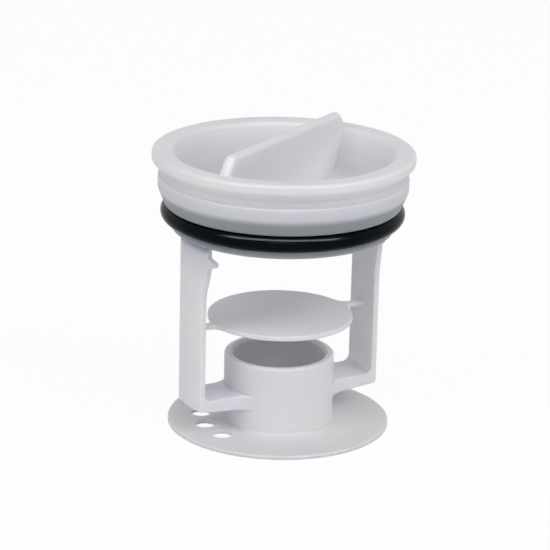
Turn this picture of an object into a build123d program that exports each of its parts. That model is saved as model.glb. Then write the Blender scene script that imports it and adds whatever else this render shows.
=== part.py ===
from build123d import *
import os

# Lint filter of a washing machine's drain pump: a screw-in cap with a finger grip, two legs that
# carry a deflector disc and a round base plate, and a rubber ring in the groove under the cap.
# Millimetres. The origin is the middle of the base plate's underside, +Z runs up to the cap,
# and the two legs stand on the X axis.

# Base plate with its row of drain holes
base_diameter = 60.0
base_thickness = 1.0
base_edge_round = 0.3
drain_hole_diameter = 5.6
drain_hole_circle = 42.0
drain_hole_count = 3
drain_hole_pitch_deg = 24.0
drain_hole_middle_deg = 172.0

# Collar on the base plate, open right through to the pump
collar_diameter = 29.7
collar_wall = 2.4
collar_height = 19.7
collar_edge_round = 0.7
collar_foot_round = 0.8

# Legs: two strips of one tube, wider under the cap on the side that carries the catch
leg_diameter = 56.0
leg_wall = 1.6
leg_width = 12.4
leg_foot_gap = 7.2
leg_foot_round = 0.8
leg_edge_round = 0.3
flare_width = 1.8
flare_length = 7.3
flare_drop = 7.1
flare_foot_round = 18.0
flare_top_round = 1.0

# Catch on the edge of each leg, just above the flare
catch_land = 0.8
catch_height = 3.0
catch_reach = 2.2
catch_slope = 0.9
catch_round = 0.4

# Arms between the collar and the feet of the legs, deeper and wider at the collar
arm_thickness = 2.9
arm_root_depth = 4.0
arm_root_round = 7.0
arm_corner_round = 2.0

# Deflector disc, hung between the legs on two narrow spokes
deflector_diameter = 39.2
deflector_thickness = 1.4
deflector_gap = 9.5
deflector_edge_round = 0.4
spoke_width = 2.0
spoke_round = 3.0

# Lower cap, set by the legs: a skirt with the ring's groove round it, and a lip under the groove
cap_level = 55.1
groove_proud = 0.05
groove_edge_round = 0.3
skirt_wall = 2.4
lip_reach = 1.65
lip_thickness = 2.0
lip_round = 0.5

# Upper cap, set by the flange: a neck that widens to the bead, a waist, and the flange on its shoulder
flange_diameter = 70.0
flange_height = 2.4
flange_round = 0.9
shoulder_height = 2.5
bead_step = 1.6
bead_height = 3.05
bead_foot_round = 2.0
bead_top_round = 0.35
waist_depth = 0.6
waist_height = 1.9
waist_foot_round = 0.2
waist_top_round = 0.7
neck_taper = 1.8
neck_height = 4.45

# Finger recess in the cap
rim_width = 5.6
recess_taper = 4.9
recess_depth = 12.4
recess_mouth_round = 1.8
recess_floor_round = 5.0
recess_floor_thickness = 2.4

# Grip bar across the recess
grip_thickness = 3.2
grip_angle_deg = 30.3
grip_rise = 4.4
grip_landing = 1.8
grip_end_run = 3.4
grip_round = 1.3

# Sealing ring in the groove
cord_diameter = 4.5
ring_side_gap = 0.15
ring_seat_gap = 0.1

# How far one form of the moulding runs into the next, so that they join as one
root = 0.6

# Closest that two radii or levels count as the same one
same_place = 1e-3

base_radius = base_diameter / 2
collar_radius = collar_diameter / 2
bore_radius = collar_radius - collar_wall
leg_outer_radius = leg_diameter / 2
leg_inner_radius = leg_outer_radius - leg_wall
leg_half = leg_width / 2
deflector_radius = deflector_diameter / 2
groove_radius = leg_outer_radius + groove_proud
skirt_radius = groove_radius - skirt_wall
lip_radius = groove_radius + lip_reach
flange_radius = flange_diameter / 2
bead_radius = flange_radius - bead_step
waist_radius = bead_radius - waist_depth
neck_radius = bead_radius - neck_taper
neck_edge_round = min(groove_edge_round, (neck_radius - groove_radius) / 2)
recess_mouth_radius = flange_radius - rim_width
recess_floor_radius = recess_mouth_radius - recess_taper

leg_foot_level = base_thickness + leg_foot_gap
arm_top_level = leg_foot_level + arm_thickness
arm_root_level = arm_top_level - arm_root_depth
deflector_level = collar_height + deflector_gap
leg_top_level = cap_level + lip_thickness / 2
groove_low = cap_level + lip_thickness
groove_high = groove_low + cord_diameter + 2 * ring_side_gap
bead_low = groove_high + neck_height
bead_high = bead_low + bead_height
shoulder_low = bead_high + waist_height
shoulder_high = shoulder_low + shoulder_height
rim_level = shoulder_high + flange_height
recess_floor = rim_level - recess_depth


def rounded(corners):
    """Face inside a closed outline of corners, each a point and the radius that rounds it."""
    with BuildSketch() as sketch:
        with BuildLine():
            FilletPolyline([point for point, _ in corners], radius=[r for _, r in corners], close=True)
        make_face()
    return sketch.sketch


def corners_at(plan, radius):
    """The corners of a plan that lie at a radius from the axis."""
    return plan.vertices().filter_by(
        lambda corner: abs(Vector(corner.X, corner.Y).length - radius) < same_place
    )


def base_and_collar():
    """Round plate with the collar standing on it, before the bore is cut."""
    plate = Cylinder(base_radius, base_thickness, align=(Align.CENTER, Align.CENTER, Align.MIN))
    plate = fillet(plate.edges().group_by(Axis.Z)[-1], base_edge_round)
    tube = Cylinder(collar_radius, collar_height, align=(Align.CENTER, Align.CENTER, Align.MIN))
    tube = fillet(tube.edges().group_by(Axis.Z)[-1], collar_edge_round)
    stand = plate + tube
    foot = stand.edges().filter_by(GeomType.CIRCLE).filter_by(
        lambda edge: abs(edge.radius - collar_radius) < same_place
        and abs(edge.center().Z - base_thickness) < same_place
    )
    return fillet(foot, collar_foot_round)


def collar_bore():
    """The water way down through the collar and the plate, with its mouth eased."""
    depth = collar_height + 2 * root
    bore = Pos(0, 0, -root) * Cylinder(bore_radius, depth, align=(Align.CENTER, Align.CENTER, Align.MIN))
    ease = Pos(0, 0, collar_height) * Cone(
        bore_radius,
        bore_radius + collar_edge_round,
        collar_edge_round,
        align=(Align.CENTER, Align.CENTER, Align.MAX),
    )
    return bore + ease


def drain_holes():
    """The row of round holes through the plate, on one pitch circle."""
    first = drain_hole_middle_deg - drain_hole_pitch_deg * (drain_hole_count - 1) / 2
    spots = PolarLocations(
        drain_hole_circle / 2,
        drain_hole_count,
        start_angle=first,
        angular_range=drain_hole_pitch_deg * (drain_hole_count - 1),
        endpoint=True,
    )
    height = base_thickness + 2 * root
    hole = Cylinder(drain_hole_diameter / 2, height, align=(Align.CENTER, Align.CENTER, Align.MIN))
    return [spot * Pos(0, 0, -root) * hole for spot in spots]


def leg_outline():
    """Both legs as seen along X, from the arms up into the cap."""
    flare_half = leg_half + flare_width
    catch_half = flare_half + catch_reach
    flare_level = cap_level - flare_drop
    catch_low = flare_level + catch_land
    catch_high = catch_low + catch_height
    outline = rounded([
        ((-leg_half, arm_top_level), 0),
        ((-leg_half, flare_level - flare_length), flare_foot_round),
        ((-flare_half, flare_level), flare_top_round),
        ((-flare_half, catch_low), catch_round),
        ((-catch_half, catch_low + catch_slope), catch_round),
        ((-catch_half, catch_high - catch_slope), catch_round),
        ((-flare_half, catch_high), catch_round),
        ((-flare_half, leg_top_level), 0),
        ((leg_half, leg_top_level), 0),
        ((leg_half, arm_top_level), 0),
    ])
    return extrude(Plane.YZ * outline, leg_outer_radius, both=True)


def arm_outline():
    """Both arms as seen from above, widening in a sweep to the collar."""
    with BuildSketch() as plan:
        Circle(leg_outer_radius)
        Rectangle(leg_diameter, leg_width, mode=Mode.INTERSECT)
        Circle(collar_radius)
        fillet(corners_at(plan, collar_radius), arm_root_round)
    return extrude(plan.sketch, arm_top_level + arm_corner_round)


def legs_and_arms():
    """Legs and arms in one: a turned wall and floor, cut to the two outlines, with soft edges."""
    root_slope = (leg_foot_level - arm_root_level) / (leg_outer_radius - collar_radius)
    section = rounded([
        ((0, leg_foot_level - root_slope * leg_outer_radius), 0),
        ((leg_outer_radius, leg_foot_level), leg_foot_round),
        ((leg_outer_radius, leg_top_level), 0),
        ((leg_inner_radius, leg_top_level), 0),
        ((leg_inner_radius, arm_top_level), arm_corner_round),
        ((0, arm_top_level), 0),
    ])
    turned = revolve(Plane.XZ * section, Axis.Z)
    carrier = turned & (leg_outline() + arm_outline())
    uprights = carrier.edges().filter_by(Axis.Z).filter_by(
        lambda edge: edge.center().Z > arm_top_level + arm_corner_round
    )
    return fillet(uprights, leg_edge_round)


def deflector():
    """Flat disc with a spoke to each leg, filleted in plan where the spokes leave it."""
    with BuildSketch(Plane.XY.offset(deflector_level)) as plan:
        Circle(deflector_radius)
        Rectangle(2 * (leg_inner_radius + root), spoke_width)
        fillet(corners_at(plan, deflector_radius), spoke_round)
    disc = extrude(plan.sketch, deflector_thickness)
    levels = disc.edges().group_by(Axis.Z)
    return fillet(levels[0] + levels[-1], deflector_edge_round)


def cap():
    """The cap, turned from its half section: skirt, groove, neck, bead, flange and finger recess."""
    section = rounded([
        ((skirt_radius, cap_level), 0),
        ((lip_radius, cap_level), lip_round),
        ((lip_radius, groove_low), groove_edge_round),
        ((groove_radius, groove_low), 0),
        ((groove_radius, groove_high), 0),
        ((neck_radius, groove_high), neck_edge_round),
        ((bead_radius, bead_low), bead_foot_round),
        ((bead_radius, bead_high), bead_top_round),
        ((waist_radius, bead_high), waist_foot_round),
        ((waist_radius, shoulder_low), waist_top_round),
        ((flange_radius, shoulder_high), flange_round),
        ((flange_radius, rim_level), flange_round),
        ((recess_mouth_radius, rim_level), recess_mouth_round),
        ((recess_floor_radius, recess_floor), recess_floor_round),
        ((0, recess_floor), 0),
        ((0, recess_floor - recess_floor_thickness), 0),
        ((skirt_radius, recess_floor - recess_floor_thickness), 0),
    ])
    return revolve(Plane.XZ * section, Axis.Z)


def grip():
    """The straight bar across the recess, with sloped ends that land on the rim."""
    foot_half = recess_floor_radius
    rim_half = recess_mouth_radius + grip_landing
    top_half = rim_half - grip_end_run
    foot_level = recess_floor - recess_floor_thickness / 2
    top_level = rim_level + grip_rise
    with BuildSketch(Plane.XZ) as side:
        with BuildLine():
            Polyline(
                (-foot_half, foot_level),
                (foot_half, foot_level),
                (rim_half, rim_level),
                (top_half, top_level),
                (-top_half, top_level),
                (-rim_half, rim_level),
                close=True,
            )
        make_face()
    bar = extrude(side.sketch, grip_thickness / 2, both=True)
    crest = bar.edges().filter_by(lambda edge: edge.center().Z > rim_level + root)
    bar = fillet(crest, grip_round)
    return Rot(0, 0, grip_angle_deg) * bar


def filter_body():
    """The whole white moulding as one solid."""
    body = base_and_collar() + legs_and_arms() + deflector() + cap() + grip()
    body -= collar_bore()
    body -= drain_holes()
    return body


def sealing_ring():
    """Round-section rubber ring, seated on the floor of the groove."""
    cord_radius = cord_diameter / 2
    centre_radius = groove_radius + ring_seat_gap + cord_radius
    return Pos(0, 0, (groove_low + groove_high) / 2) * Torus(centre_radius, cord_radius)


os.makedirs("parts", exist_ok=True)
export_step(filter_body(), "parts/filter_body.step")
export_step(sealing_ring(), "parts/sealing_ring.step")
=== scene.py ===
import logging
import math
from dataclasses import dataclass
from enum import Enum

import bpy
from mathutils import Matrix, Vector


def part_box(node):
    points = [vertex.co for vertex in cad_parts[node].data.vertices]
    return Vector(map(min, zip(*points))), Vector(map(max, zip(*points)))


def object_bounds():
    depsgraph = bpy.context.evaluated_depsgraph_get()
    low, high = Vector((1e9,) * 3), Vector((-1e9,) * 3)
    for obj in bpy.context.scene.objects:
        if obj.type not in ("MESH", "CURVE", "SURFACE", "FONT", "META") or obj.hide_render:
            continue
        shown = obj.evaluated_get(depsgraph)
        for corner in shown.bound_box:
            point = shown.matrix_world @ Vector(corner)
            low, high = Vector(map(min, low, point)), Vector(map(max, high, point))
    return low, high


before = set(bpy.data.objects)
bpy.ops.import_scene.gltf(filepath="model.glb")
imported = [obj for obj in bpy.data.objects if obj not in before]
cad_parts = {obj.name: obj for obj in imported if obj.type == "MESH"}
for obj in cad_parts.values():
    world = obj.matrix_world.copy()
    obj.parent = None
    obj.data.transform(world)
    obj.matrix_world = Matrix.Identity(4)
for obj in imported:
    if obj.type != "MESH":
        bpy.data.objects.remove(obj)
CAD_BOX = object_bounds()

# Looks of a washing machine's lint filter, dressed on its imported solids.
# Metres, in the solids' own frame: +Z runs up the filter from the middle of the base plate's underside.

LOG = logging.getLogger("lint_filter")
MM = 0.001

Colour = tuple[float, float, float]


class Piece(Enum):
    """The solids of the filter, by node name."""

    BODY = "filter_body"
    RING = "sealing_ring"


class Slot(Enum):
    """The record's material slots."""

    PLASTIC = "white_plastic"
    RUBBER = "black_rubber"


class Effect(Enum):
    """The surface effects that more than one finish uses, by node group name."""

    GRAIN = "moulded_grain"
    DRIFT = "shade_drift"


class Graph:
    """A node tree with short calls to add nodes and join their sockets."""

    def __init__(self, tree: bpy.types.NodeTree) -> None:
        """Take the tree to work on."""
        self.tree = tree

    def add(self, kind: str, **settings: object) -> bpy.types.Node:
        """Add a node.

        Args:
            kind: Blender's name of the node's type.
            settings: Attributes to set on the node.

        Returns:
            The new node.
        """
        node = self.tree.nodes.new(kind)
        for name, value in settings.items():
            setattr(node, name, value)
        return node

    def join(self, source: bpy.types.NodeSocket, target: bpy.types.NodeSocket) -> None:
        """Link an output socket to an input socket."""
        self.tree.links.new(source, target)

    def place(self, effect: Effect, **values: object) -> bpy.types.Node:
        """Place a shared effect in this tree with its own values.

        Args:
            effect: The effect to place.
            values: Input values, by socket name with spaces as underscores.

        Returns:
            The group node.
        """
        node = self.add("ShaderNodeGroup", node_tree=bpy.data.node_groups[effect.value])
        for name, value in values.items():
            node.inputs[name.replace("_", " ")].default_value = value
        return node


def new_group(effect: Effect, inputs: dict[str, str], outputs: dict[str, str]) -> Graph:
    """Start a shader node group.

    Args:
        effect: The effect that the group makes.
        inputs: Socket types of the group's inputs, by name.
        outputs: Socket types of the group's outputs, by name.

    Returns:
        The group's tree, with its input and output nodes in place.
    """
    tree = bpy.data.node_groups.new(effect.value, "ShaderNodeTree")
    for name, kind in inputs.items():
        tree.interface.new_socket(name=name, in_out="INPUT", socket_type=kind)
    for name, kind in outputs.items():
        tree.interface.new_socket(name=name, in_out="OUTPUT", socket_type=kind)
    graph = Graph(tree)
    graph.add("NodeGroupInput", name="given")
    graph.add("NodeGroupOutput", name="made")
    return graph


def add_noise(graph: Graph, scale: bpy.types.NodeSocket, detail: float) -> bpy.types.NodeSocket:
    """Add a noise that is fixed to the object.

    Args:
        graph: The group's tree.
        scale: The socket that gives the features to the metre.
        detail: How many finer layers the noise has.

    Returns:
        The noise's socket.
    """
    place = graph.add("ShaderNodeTexCoord")
    noise = graph.add("ShaderNodeTexNoise")
    noise.inputs["Detail"].default_value = detail
    graph.join(place.outputs["Object"], noise.inputs["Vector"])
    graph.join(scale, noise.inputs["Scale"])
    return noise.outputs["Fac"]


def add_spread(graph: Graph, noise: bpy.types.NodeSocket, low: float, high: float) -> bpy.types.NodeSocket:
    """Stretch the middle of a noise over the whole range, with soft ends.

    Args:
        graph: The group's tree.
        noise: The noise's socket.
        low: The value that becomes 0.
        high: The value that becomes 1.

    Returns:
        The stretched mask's socket.
    """
    spread = graph.add("ShaderNodeMapRange", interpolation_type="SMOOTHSTEP")
    spread.inputs["From Min"].default_value = low
    spread.inputs["From Max"].default_value = high
    graph.join(noise, spread.inputs["Value"])
    return spread.outputs["Result"]


def build_grain(broad_share: float = 2.5) -> None:
    """Make the fine moulded grain: a height for bump, and a slower mask for gloss.

    Args:
        broad_share: Height of the broad waves, against the fine grain's height of 1.
    """
    graph = new_group(
        Effect.GRAIN,
        {"Fine Scale": "NodeSocketFloat", "Broad Scale": "NodeSocketFloat"},
        {"Height": "NodeSocketFloat", "Mask": "NodeSocketFloat"},
    )
    given, made = graph.tree.nodes["given"], graph.tree.nodes["made"]
    fine = add_noise(graph, given.outputs["Fine Scale"], detail=3.0)
    broad = add_noise(graph, given.outputs["Broad Scale"], detail=4.0)
    height = graph.add("ShaderNodeMath", operation="MULTIPLY_ADD")
    height.inputs[1].default_value = broad_share
    graph.join(broad, height.inputs[0])
    graph.join(fine, height.inputs[2])
    graph.join(height.outputs["Value"], made.inputs["Height"])
    graph.join(add_spread(graph, broad, low=0.35, high=0.65), made.inputs["Mask"])


def build_drift() -> None:
    """Make the slow drift between two shades that a moulding or a rubber has over its length."""
    graph = new_group(
        Effect.DRIFT,
        {"Scale": "NodeSocketFloat", "Shade A": "NodeSocketColor", "Shade B": "NodeSocketColor"},
        {"Color": "NodeSocketColor"},
    )
    given, made = graph.tree.nodes["given"], graph.tree.nodes["made"]
    noise = add_noise(graph, given.outputs["Scale"], detail=3.0)
    mix = graph.add("ShaderNodeMix", data_type="RGBA")
    graph.join(add_spread(graph, noise, low=0.3, high=0.7), mix.inputs["Factor"])
    graph.join(given.outputs["Shade A"], mix.inputs["A"])
    graph.join(given.outputs["Shade B"], mix.inputs["B"])
    graph.join(mix.outputs["Result"], made.inputs["Color"])


@dataclass(frozen=True)
class RingPaintedShade:
    """Painted shade round the black ring: the plastic's colour is darkened near the ring, standing in for
    the shade under the bead and round the ring and for the ring's dark seen through the milky plastic.

    The ring lies round the Z axis. Each step is a distance from the ring's surface, in metres, and
    the share of the plastic's own colour that is left there.
    """

    ring_radius: float
    ring_level: float
    cord_radius: float
    # Painted shade: the colour is darkest next to the ring and fades out 13 mm from it.
    steps: tuple[tuple[float, Colour], ...] = (
        (3.2 * MM, (0.42, 0.46, 0.48)),
        (5.4 * MM, (0.82, 0.83, 0.84)),
        (8.5 * MM, (0.90, 0.90, 0.91)),
        (13.0 * MM, (1.0, 1.0, 1.0)),
    )

    @classmethod
    def of_piece(cls, piece: Piece) -> "RingPaintedShade":
        """Take the ring's sizes from its solid.

        Args:
            piece: The ring.

        Returns:
            The painted shade round that ring.
        """
        low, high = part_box(piece.value)
        cord_radius = (high.z - low.z) / 2
        return cls(high.x - cord_radius, (low.z + high.z) / 2, cord_radius)

    def distance(self, graph: Graph) -> bpy.types.NodeSocket:
        """Add the distance from the middle of the ring's cord.

        Args:
            graph: The material's tree.

        Returns:
            The distance's socket, in metres.
        """
        place = graph.add("ShaderNodeTexCoord")
        axes = graph.add("ShaderNodeSeparateXYZ")
        flat = graph.add("ShaderNodeCombineXYZ")
        radius = graph.add("ShaderNodeVectorMath", operation="LENGTH")
        across = graph.add("ShaderNodeMath", operation="SUBTRACT")
        above = graph.add("ShaderNodeMath", operation="SUBTRACT")
        offset = graph.add("ShaderNodeCombineXYZ")
        length = graph.add("ShaderNodeVectorMath", operation="LENGTH")
        across.inputs[1].default_value = self.ring_radius
        above.inputs[1].default_value = self.ring_level
        graph.join(place.outputs["Object"], axes.inputs["Vector"])
        graph.join(axes.outputs["X"], flat.inputs["X"])
        graph.join(axes.outputs["Y"], flat.inputs["Y"])
        graph.join(flat.outputs["Vector"], radius.inputs[0])
        graph.join(radius.outputs["Value"], across.inputs[0])
        graph.join(axes.outputs["Z"], above.inputs[0])
        graph.join(across.outputs["Value"], offset.inputs["X"])
        graph.join(above.outputs["Value"], offset.inputs["Y"])
        graph.join(offset.outputs["Vector"], length.inputs[0])
        return length.outputs["Value"]

    def over(self, graph: Graph, colour: bpy.types.NodeSocket) -> bpy.types.NodeSocket:
        """Paint the shade round the ring into a colour.

        Args:
            graph: The material's tree.
            colour: The colour's socket.

        Returns:
            The socket of the colour with the painted shade.
        """
        reach = self.steps[-1][0]
        share = graph.add("ShaderNodeMapRange")
        share.inputs["From Min"].default_value = self.cord_radius
        share.inputs["From Max"].default_value = self.cord_radius + reach
        ramp = graph.add("ShaderNodeValToRGB")
        ramp.color_ramp.interpolation = "EASE"
        marks = ramp.color_ramp.elements
        marks.remove(marks[-1])
        marks[0].position = self.steps[0][0] / reach
        marks[0].color = (*self.steps[0][1], 1.0)
        for far, left in self.steps[1:]:
            marks.new(far / reach).color = (*left, 1.0)
        mix = graph.add("ShaderNodeMix", data_type="RGBA", blend_type="MULTIPLY")
        mix.inputs["Factor"].default_value = 1.0
        graph.join(self.distance(graph), share.inputs["Value"])
        graph.join(share.outputs["Result"], ramp.inputs["Fac"])
        graph.join(colour, mix.inputs["A"])
        graph.join(ramp.outputs["Color"], mix.inputs["B"])
        return mix.outputs["Result"]


@dataclass(frozen=True)
class Finish:
    """A finish with a drifting tone, a grain in its gloss, a fine bump and, where given, painted shade
    round the ring.

    Sizes of texture are in features to the metre, and the bump's depth is in metres.
    """

    name: str
    shade_a: Colour
    shade_b: Colour
    drift_scale: float
    fine_scale: float
    broad_scale: float
    rough_low: float
    rough_high: float
    bump_depth: float
    specular: float
    gloss_tint: Colour = (1.0, 1.0, 1.0)
    scatter: float = 0.0
    scatter_reach: Colour = (0.0, 0.0, 0.0)
    painted_ring_shade: RingPaintedShade | None = None

    def material(self) -> bpy.types.Material:
        """Build the material.

        Returns:
            The new material, ready to go on a piece.
        """
        material = bpy.data.materials.new(self.name)
        material.use_nodes = True
        graph = Graph(material.node_tree)
        shader = material.node_tree.nodes["Principled BSDF"]
        shader.inputs["Specular IOR Level"].default_value = self.specular
        shader.inputs["Specular Tint"].default_value = (*self.gloss_tint, 1.0)
        shader.inputs["Subsurface Weight"].default_value = self.scatter
        shader.inputs["Subsurface Radius"].default_value = self.scatter_reach
        shader.inputs["Subsurface Scale"].default_value = 1.0
        drift = graph.place(
            Effect.DRIFT,
            Scale=self.drift_scale,
            Shade_A=(*self.shade_a, 1.0),
            Shade_B=(*self.shade_b, 1.0),
        )
        grain = graph.place(Effect.GRAIN, Fine_Scale=self.fine_scale, Broad_Scale=self.broad_scale)
        gloss = graph.add("ShaderNodeMapRange")
        gloss.inputs["To Min"].default_value = self.rough_low
        gloss.inputs["To Max"].default_value = self.rough_high
        bump = graph.add("ShaderNodeBump")
        bump.inputs["Distance"].default_value = self.bump_depth
        colour = drift.outputs["Color"]
        # Painted shade round the black ring, multiplied into the colour.
        if self.painted_ring_shade is not None:
            colour = self.painted_ring_shade.over(graph, colour)
        graph.join(colour, shader.inputs["Base Color"])
        graph.join(grain.outputs["Mask"], gloss.inputs["Value"])
        graph.join(gloss.outputs["Result"], shader.inputs["Roughness"])
        graph.join(grain.outputs["Height"], bump.inputs["Height"])
        graph.join(bump.outputs["Normal"], shader.inputs["Normal"])
        return material


MOULDED_PLASTIC = Finish(
    name="natural_polypropylene",
    shade_a=(0.760, 0.753, 0.808),
    shade_b=(0.788, 0.796, 0.804),
    drift_scale=40.0,
    fine_scale=2600.0,
    broad_scale=420.0,
    rough_low=0.42,
    rough_high=0.52,
    bump_depth=0.02 * MM,
    specular=0.1,
    scatter=0.7,
    scatter_reach=(3.2 * MM, 3.2 * MM, 3.3 * MM),
    # Painted shade round the black ring, standing in for the shade there.
    painted_ring_shade=RingPaintedShade.of_piece(Piece.RING),
)
SEAL_RUBBER = Finish(
    name="black_seal_rubber",
    shade_a=(0.0008, 0.0022, 0.0026),
    shade_b=(0.0014, 0.0032, 0.0038),
    drift_scale=90.0,
    fine_scale=3200.0,
    broad_scale=700.0,
    rough_low=0.08,
    rough_high=0.12,
    bump_depth=0.005 * MM,
    specular=0.045,
    gloss_tint=(0.78, 0.94, 1.0),
)


@dataclass
class DressedNode:
    """A solid that keeps its own shape and gets a finish."""

    piece: Piece
    slot: Slot
    finish: Finish

    def dress(self) -> bpy.types.Object:
        """Put the finish on the solid.

        Returns:
            The solid's object.
        """
        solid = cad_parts[self.piece.value]
        solid.data.materials.clear()
        solid.data.materials.append(self.finish.material())
        LOG.info("dressed %s in %s", self.piece.value, self.finish.name)
        return solid


@dataclass
class Lamp:
    """A soft box, placed round the filter as the camera sees it.

    Azimuth and elevation are in degrees, azimuth from the camera's side and to the right. Sizes are in
    metres and power is in watts. A box for gloss only shows as a reflection and lights nothing.
    """

    name: str
    azimuth: float
    elevation: float
    power: float
    distance: float = 1.4
    width: float = 0.6
    height: float = 0.6
    gloss_only: bool = False

    def build(self, facing: float, aim: Vector) -> bpy.types.Object:
        """Make the lamp.

        Args:
            facing: The camera's azimuth, in degrees.
            aim: The point that the lamp looks at.

        Returns:
            The lamp's object.
        """
        data = bpy.data.lights.new(self.name, "AREA")
        data.shape = "RECTANGLE"
        data.size = self.width
        data.size_y = self.height
        data.energy = self.power
        turn = math.radians(facing + self.azimuth)
        rise = math.radians(self.elevation)
        back = Vector((
            math.sin(turn) * math.cos(rise),
            -math.cos(turn) * math.cos(rise),
            math.sin(rise),
        ))
        lamp = bpy.data.objects.new(self.name, data)
        lamp.location = aim + back * self.distance
        lamp.rotation_euler = back.to_track_quat("Z", "Y").to_euler()
        lamp.visible_diffuse = not self.gloss_only
        bpy.context.scene.collection.objects.link(lamp)
        return lamp


@dataclass
class PhotoCamera:
    """The camera, at the photograph's own place: millimetres, pixels and degrees, clips in metres."""

    azimuth: float = -29.7
    distance_mm: float = 667.1
    height_mm: float = 258.9
    pitch: float = 18.07
    yaw: float = -0.14
    roll: float = 1.40
    focal_px: float = 2613.0
    image_px: float = 550.0
    sensor_mm: float = 36.0
    clip_near: float = 0.01
    clip_far: float = 50.0

    def build(self) -> bpy.types.Object:
        """Make the camera and make it the scene's own.

        Returns:
            The camera's object.
        """
        data = bpy.data.cameras.new("photo_camera")
        data.sensor_fit = "HORIZONTAL"
        data.sensor_width = self.sensor_mm
        data.lens = self.sensor_mm * self.focal_px / self.image_px
        data.clip_start = self.clip_near
        data.clip_end = self.clip_far
        pitch, yaw, roll = (math.radians(angle) for angle in (self.pitch, self.yaw, self.roll))
        forward = Vector((
            math.sin(yaw) * math.cos(pitch),
            math.cos(yaw) * math.cos(pitch),
            -math.sin(pitch),
        ))
        level = forward.cross(Vector((0, 0, 1))).normalized()
        upright = level.cross(forward)
        right = level * math.cos(roll) + upright * math.sin(roll)
        up = upright * math.cos(roll) - level * math.sin(roll)
        spot = Vector((0, -self.distance_mm * MM, self.height_mm * MM))
        stance = Matrix((
            (right.x, up.x, -forward.x, spot.x),
            (right.y, up.y, -forward.y, spot.y),
            (right.z, up.z, -forward.z, spot.z),
            (0, 0, 0, 1),
        ))
        camera = bpy.data.objects.new("photo_camera", data)
        camera.matrix_world = Matrix.Rotation(math.radians(self.azimuth), 4, "Z") @ stance
        bpy.context.scene.collection.objects.link(camera)
        bpy.context.scene.camera = camera
        LOG.info("camera with a %.1f mm lens, %.1f mm away", data.lens, self.distance_mm)
        return camera


@dataclass
class Studio:
    """A plain white table in soft light, in metres."""

    floor_half: float = 4.0
    floor_level: float = -0.1 * MM
    floor_shade: Colour = (0.93, 0.93, 0.93)
    floor_white: float = 0.95
    sky_level: float = 0.41
    lamps: tuple[Lamp, ...] = (
        Lamp("left_box", azimuth=-55.0, elevation=40.0, power=3.6),
        Lamp("right_box", azimuth=55.0, elevation=40.0, power=4.5),
        Lamp("front_box", azimuth=0.0, elevation=34.0, power=3.3),
        Lamp("top_box", 0.0, 63.0, 130.0, distance=1.3, width=2.2, height=0.5, gloss_only=True),
    )

    def seen_ray(self, graph: Graph) -> bpy.types.NodeSocket:
        """Add a mask that is 1 on rays that show the backdrop: camera, glossy and transmission rays.

        Args:
            graph: The tree to add it to.

        Returns:
            The mask's socket.
        """
        path = graph.add("ShaderNodeLightPath")
        either = graph.add("ShaderNodeMath", operation="MAXIMUM")
        any_of = graph.add("ShaderNodeMath", operation="MAXIMUM")
        graph.join(path.outputs["Is Camera Ray"], either.inputs[0])
        graph.join(path.outputs["Is Glossy Ray"], either.inputs[1])
        graph.join(either.outputs["Value"], any_of.inputs[0])
        graph.join(path.outputs["Is Transmission Ray"], any_of.inputs[1])
        return any_of.outputs["Value"]

    def build_sky(self) -> None:
        """Light the scene evenly all round, and show white where nothing stands."""
        world = bpy.data.worlds.new("soft_white")
        world.use_nodes = True
        bpy.context.scene.world = world
        graph = Graph(world.node_tree)
        sky = world.node_tree.nodes["Background"]
        sky.inputs["Color"].default_value = (1.0, 1.0, 1.0, 1.0)
        level = graph.add("ShaderNodeMapRange")
        level.inputs["To Min"].default_value = self.sky_level
        level.inputs["To Max"].default_value = 1.0
        graph.join(self.seen_ray(graph), level.inputs["Value"])
        graph.join(level.outputs["Result"], sky.inputs["Strength"])

    def build_floor(self) -> bpy.types.Object:
        """Lay the floor, white to the camera but for the filter's shadow.

        Returns:
            The floor's object.
        """
        half, level = self.floor_half, self.floor_level
        mesh = bpy.data.meshes.new("floor")
        corners = [(x * half, y * half, level) for x, y in ((-1, -1), (1, -1), (1, 1), (-1, 1))]
        mesh.from_pydata(corners, [], [(0, 1, 2, 3)])
        floor = bpy.data.objects.new("floor", mesh)
        bpy.context.scene.collection.objects.link(floor)
        material = bpy.data.materials.new("white_table")
        material.use_nodes = True
        graph = Graph(material.node_tree)
        material.node_tree.nodes.remove(material.node_tree.nodes["Principled BSDF"])
        plain = graph.add("ShaderNodeBsdfDiffuse")
        plain.inputs["Color"].default_value = (*self.floor_shade, 1.0)
        white = graph.add("ShaderNodeEmission")
        share = graph.add("ShaderNodeMath", operation="MULTIPLY")
        share.inputs[1].default_value = self.floor_white
        mix = graph.add("ShaderNodeMixShader")
        graph.join(self.seen_ray(graph), share.inputs[0])
        graph.join(share.outputs["Value"], mix.inputs["Fac"])
        graph.join(plain.outputs["BSDF"], mix.inputs[1])
        graph.join(white.outputs["Emission"], mix.inputs[2])
        graph.join(mix.outputs["Shader"], material.node_tree.nodes["Material Output"].inputs["Surface"])
        mesh.materials.append(material)
        return floor

    def build(self, facing: float) -> None:
        """Set up sky, floor and lamps.

        Args:
            facing: The camera's azimuth, in degrees.
        """
        self.build_sky()
        self.build_floor()
        low, high = CAD_BOX
        for lamp in self.lamps:
            lamp.build(facing, (low + high) / 2)
        bpy.context.scene.view_settings.view_transform = "Standard"
        LOG.info("studio with %d lamps", len(self.lamps))


def main() -> None:
    """Build the looks in order and report each piece."""
    logging.basicConfig(level=logging.INFO, format="%(name)s: %(message)s")
    build_grain()
    build_drift()
    DressedNode(Piece.BODY, Slot.PLASTIC, MOULDED_PLASTIC).dress()
    DressedNode(Piece.RING, Slot.RUBBER, SEAL_RUBBER).dress()
    camera = PhotoCamera()
    camera.build()
    Studio().build(camera.azimuth)


if __name__ == "__main__":
    main()
